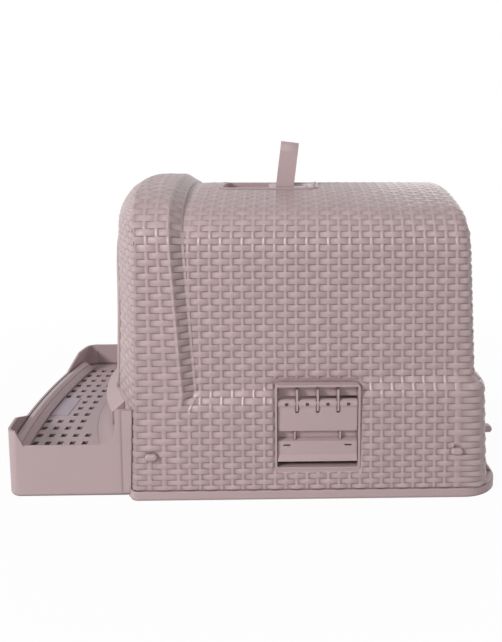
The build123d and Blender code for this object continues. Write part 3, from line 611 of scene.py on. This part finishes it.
def rear_left_out(y, z):
    """The bare strip low on the rear."""
    return (np.abs(y) < REAR_STRIP_HALF) & (z < REAR_STRIP_TOP)


sides()
end_panel("weave_front", front_edge, FRONT_STAKES, CORNER_STAKE, -1, aim_at_bow, front_left_out, FRONT_FADE)
end_panel("weave_rear", rear_edge, REAR_STAKES, LAST_STAKE + 1, 1, aim_at_rear, rear_left_out, 0.0)

# Rims that follow a path on the hood


def bead_tree():
    """A round bead along a path."""
    inputs = [("Bead Radius", "NodeSocketFloat"), ("Material", "NodeSocketMaterial")]
    tree, bench, given, ids = new_tree("bead_along_path", inputs)
    path = bench.node("GeometryNodeMeshToCurve", None, {"Mesh": given["Geometry"]})
    ring = bench.node("GeometryNodeCurvePrimitiveCircle", None,
                      {"Resolution": 14, "Radius": given["Bead Radius"]})
    tube = bench.node("GeometryNodeCurveToMesh", None, {"Curve": path, "Profile Curve": ring})
    smooth = bench.node("GeometryNodeSetShadeSmooth", None, {"Geometry": tube})
    close_tree(bench, smooth, given["Material"])
    return tree, ids


bead, bead_ids = bead_tree()


def rim(name, points, radius):
    """A closed bead through points that lie on the hood."""
    mesh = bpy.data.meshes.new(name)
    count = len(points)
    mesh.from_pydata([tuple(p) for p in points], [(i, (i + 1) % count) for i in range(count)], [])
    blank = bpy.data.objects.new(name, mesh)
    scene.collection.objects.link(blank)
    made = worked(blank, bead, bead_ids, {"Bead Radius": radius, "Material": shell_plastic})
    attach(made, "hood")


def entry_path():
    """The entry's outline, a little outside its edge: over the arch, then back along the foot."""
    grow = 0.001
    half, foot = ENTRY_HALF + grow, ENTRY_FOOT - grow
    round_z = ENTRY_TOP - ENTRY_HALF
    turn = np.linspace(math.pi, 0.0, 61)
    arch = np.stack([half * np.cos(turn), round_z + half * np.sin(turn)], -1)
    corner = ENTRY_CORNER + grow
    quarter = np.linspace(0.0, -math.pi / 2, 9)
    right = np.stack([half - corner + corner * np.cos(quarter),
                      foot + corner + corner * np.sin(quarter)], -1)
    floor = np.stack([np.linspace(half - corner, corner - half, 26)[1:-1], np.full(24, foot)], -1)
    left = right[::-1] * np.array([-1.0, 1.0])
    side = np.stack([np.full(8, half), np.linspace(round_z, foot + corner, 10)[1:-1]], -1)
    return np.concatenate([arch, side, right, floor, left, (side * np.array([-1.0, 1.0]))[::-1]])


outline = entry_path()
radius_at = BOW_RADIUS - (outline[:, 1] - FOOT) * math.tan(LEAN)
entry_x = BOW_X - np.sqrt(radius_at**2 - outline[:, 0] ** 2)
rim("entry_rim", np.column_stack([entry_x, outline]), radius=0.0034)


def cup_path():
    """The cup's outline with round corners, on the hood's crown."""
    turn = np.linspace(0.0, 2 * math.pi, 49)[:-1]
    cosine, sine = np.cos(turn), np.sin(turn)
    x = CUP_MIDDLE_X + np.sign(cosine.round(9)) * (CUP_HALF_X - CUP_CORNER) + CUP_CORNER * cosine
    y = np.sign(sine.round(9)) * (CUP_HALF_Y - CUP_CORNER) + CUP_CORNER * sine
    z = BODY_TOP - CROWN + np.sqrt(CROWN**2 - y**2)
    return np.stack([x, y, z], -1)


rim("cup_rim", cup_path(), radius=0.0021)

# Details of the step


def solid_through(name, sections, body, material):
    """A closed shape through a row of sections, each a ring of points, with a cap at both ends."""
    sections = np.asarray(sections, float)
    count, size = sections.shape[:2]
    faces = [(r * size + c, r * size + (c + 1) % size, (r + 1) * size + (c + 1) % size, (r + 1) * size + c)
             for r in range(count - 1) for c in range(size)]
    faces += [tuple(range(size)), tuple(range((count - 1) * size, count * size))]
    mesh = bpy.data.meshes.new(name)
    mesh.from_pydata(sections.reshape(-1, 3).tolist(), [], faces)
    turned = bmesh.new()
    turned.from_mesh(mesh)
    bmesh.ops.recalc_face_normals(turned, faces=turned.faces)
    turned.to_mesh(mesh)
    turned.free()
    mesh.shade_smooth()
    mesh.set_sharp_from_angle(angle=math.radians(30.0))
    mesh.materials.append(material)
    made = bpy.data.objects.new(name, mesh)
    scene.collection.objects.link(made)
    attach(made, body)


# Border of the grate along the step's bowed front: in from the step's edge, up from the grate's top
BORDER = ((0.0037, -0.0006), (0.0037, 0.0143), (0.0041, 0.0148), (0.0095, 0.0148), (0.0099, 0.0145),
          (0.0135, 0.0114), (0.0137, 0.0098), (0.0198, 0.0020), (0.0200, -0.0006))
BORDER_NEAR_Y, BORDER_FAR_Y, BORDER_TAPER, BORDER_SECTIONS = -0.1705, 0.168, 0.025, 61
STEP_FRONT_X, STEP_FRONT_RADIUS, GRATE_TOP = -0.308, 1.3, 0.050


def border_section(y):
    """One section of the border, lower towards its far end."""
    low = np.clip((BORDER_FAR_Y - y) / BORDER_TAPER, 0.0, 1.0)
    low = low * low * (3.0 - 2.0 * low)
    return [(STEP_FRONT_X + STEP_FRONT_RADIUS - math.sqrt((STEP_FRONT_RADIUS - inset) ** 2 - y * y), y,
             GRATE_TOP + (rise * low if rise > 0 else rise)) for inset, rise in BORDER]


border_places = np.linspace(BORDER_NEAR_Y, BORDER_FAR_Y, BORDER_SECTIONS)
border_sections = [border_section(y) for y in border_places]
solid_through("grate_border", border_sections, "grate", painted_light_border_plastic)

# Bare pad on the grate: two corners, then in from the outline and up from the grate's top
PAD_LOW, PAD_HIGH = (-0.2862, -0.0500), (-0.2620, 0.0155)
PAD_EDGE = ((0.0, -0.0005), (0.0, 0.0004), (0.0006, 0.0008))


def pad_section(inset, rise):
    """The pad's outline, drawn in by inset."""
    low_x, low_y = PAD_LOW[0] + inset, PAD_LOW[1] + inset
    high_x, high_y = PAD_HIGH[0] - inset, PAD_HIGH[1] - inset
    z = GRATE_TOP + rise
    return [(low_x, low_y, z), (high_x, low_y, z), (high_x, high_y, z), (low_x, high_y, z)]


pad_sections = [pad_section(inset, rise) for inset, rise in PAD_EDGE]
solid_through("grate_pad", pad_sections, "grate", pad_lilac_and_sheen_plastic)

# Flanges at the ends of the step's side walls: along from the wall's end, out from the middle
FLANGE = ((-0.0075, 0.1842), (-0.0075, 0.1852), (-0.0060, 0.1878), (0.0030, 0.1882), (0.0036, 0.1877),
          (0.0010, 0.1842))
FLANGE_HEIGHTS, SIDE_WALL_Y = (0.006, FOOT, 0.1098), -0.1845
wall_end_x = max(v.co.x for v in nodes["step_tray"].data.vertices if v.co.y < SIDE_WALL_Y)


def flange_section(z, sign):
    """One section of a flange; its rear edge leans with the hood."""
    lean = max(z - FOOT, 0.0) * math.tan(LEAN)
    return [(wall_end_x + along + (lean if along > 0 else 0.0), sign * out, z) for along, out in FLANGE]


for side, sign in (("near", -1), ("far", 1)):
    flange_sections = [flange_section(z, sign) for z in FLANGE_HEIGHTS]
    solid_through(f"step_flange_{side}", flange_sections, "tray", step_plastic)

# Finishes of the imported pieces
finishes = {"hood_shell": shell_plastic, "hood_uprights": shell_plastic, "hood_studs": shell_plastic,
            "base_pan": shell_plastic, "step_tray": step_plastic, "step_grate": grate_plastic,
            "carry_handle": shell_plastic, "handle_cup": cup_plastic, "clip_housing_near": shell_plastic,
            "clip_housing_far": shell_plastic, "clip_near": shell_plastic, "clip_far": shell_plastic,
            "handle_pins": pin_metal, "clip_pin_near": pin_metal, "clip_pin_far": pin_metal}
for name, material in finishes.items():
    nodes[name].data.materials.clear()
    nodes[name].data.materials.append(material)
for name in ("carry_handle", "step_tray", "clip_housing_near", "clip_housing_far"):
    weld = nodes[name].modifiers.new("join_triangles", "WELD")
    weld.merge_threshold = 1e-5
    soft = nodes[name].modifiers.new("soft_edges", "BEVEL")
    soft.width, soft.segments = 0.0006, 2
    soft.limit_method, soft.angle_limit = "ANGLE", math.radians(40.0)

# Floor, light and camera
floor_mesh = bpy.data.meshes.new("studio_floor")
floor_mesh.from_pydata([(-6, -6, 0), (6, -6, 0), (6, 6, 0), (-6, 6, 0)], [], [(0, 1, 2, 3)])
studio_floor = bpy.data.objects.new("studio_floor", floor_mesh)
scene.collection.objects.link(studio_floor)
pale = bpy.data.materials.new("pale_floor")
pale.use_nodes = True
pale.node_tree.nodes["Principled BSDF"].inputs["Base Color"].default_value = (0.86, 0.86, 0.86, 1.0)
pale.node_tree.nodes["Principled BSDF"].inputs["Roughness"].default_value = 0.9
bench = Bench(pale.node_tree)
white = bench.node("ShaderNodeEmission", None, {"Color": (1.0, 1.0, 1.0, 1.0), "Strength": 1.0})
pale_shader = Thread(bench, pale.node_tree.nodes["Principled BSDF"].outputs[0])
floor_place = bench.node("ShaderNodeTexCoord", out=3)
far_off = bench.node("ShaderNodeVectorMath", {"operation": "LENGTH"}, {0: floor_place}, out=1)
near_by = bench.math("MINIMUM", bench.math("MAXIMUM", 1.5 - 1.5 * far_off, 0.0), 1.0)
shown = bench.node("ShaderNodeMixShader", None,
                   {0: bench.plain_ray() * (1.0 - FLOOR_SHADE * near_by), 1: pale_shader, 2: white})
bench.join(shown, pale.node_tree.nodes["Material Output"].inputs["Surface"])
floor_mesh.materials.append(pale)

world = bpy.data.worlds.new("studio_world")
world.use_nodes = True
scene.world = world
bench = Bench(world.node_tree)
backdrop = world.node_tree.nodes["Background"]
backdrop.inputs["Color"].default_value = (1.0, 1.0, 1.0, 1.0)
bench.join(ROOM_LIGHT + (1.0 - ROOM_LIGHT) * bench.plain_ray(), backdrop.inputs["Strength"])


def lamp(name, place, aim, size, power, colour=(1.0, 1.0, 1.0)):
    """A round area lamp that points at aim."""
    light = bpy.data.lights.new(name, "AREA")
    light.shape, light.size, light.energy, light.color = "DISK", size, power, colour
    made = bpy.data.objects.new(name, light)
    made.location = place
    direction = np.array(aim) - np.array(place)
    made.rotation_euler = (math.atan2(math.hypot(direction[0], direction[1]), -direction[2]), 0.0,
                           math.atan2(-direction[0], direction[1]))
    scene.collection.objects.link(made)


lamp("key_light", (-1.85, -1.65, 1.3), (0.0, 0.0, 0.2), 0.6, 45.0)
lamp("shoulder_light", (0.05, -1.75, 1.95), (0.05, 0.0, 0.3), 0.5, 6.0)
lamp("fill_light", (0.9, -2.2, 0.8), (0.0, 0.0, 0.2), 1.4, 3.0)
lamp("top_light", (0.1, -0.5, 2.4), (0.0, 0.0, 0.2), 0.7, 5.5, (0.96, 0.97, 1.0))
lamp("back_light", (1.5, 2.0, 0.8), (0.0, 0.0, 0.2), 2.4, 20.0)

camera_data = bpy.data.cameras.new("photo_camera")
camera_data.sensor_fit, camera_data.sensor_height, camera_data.lens = "VERTICAL", 36.0, 39.25
camera_data.shift_x, camera_data.shift_y = -48.0 / PHOTO_HEIGHT, -92.0 / PHOTO_HEIGHT
camera = bpy.data.objects.new("photo_camera", camera_data)
camera.location = (0.039, -1.0, 0.429)
camera.rotation_euler = (math.radians(83.0), 0.0, math.radians(-1.381))
scene.collection.objects.link(camera)
scene.camera = camera
scene.view_settings.view_transform = "Standard"
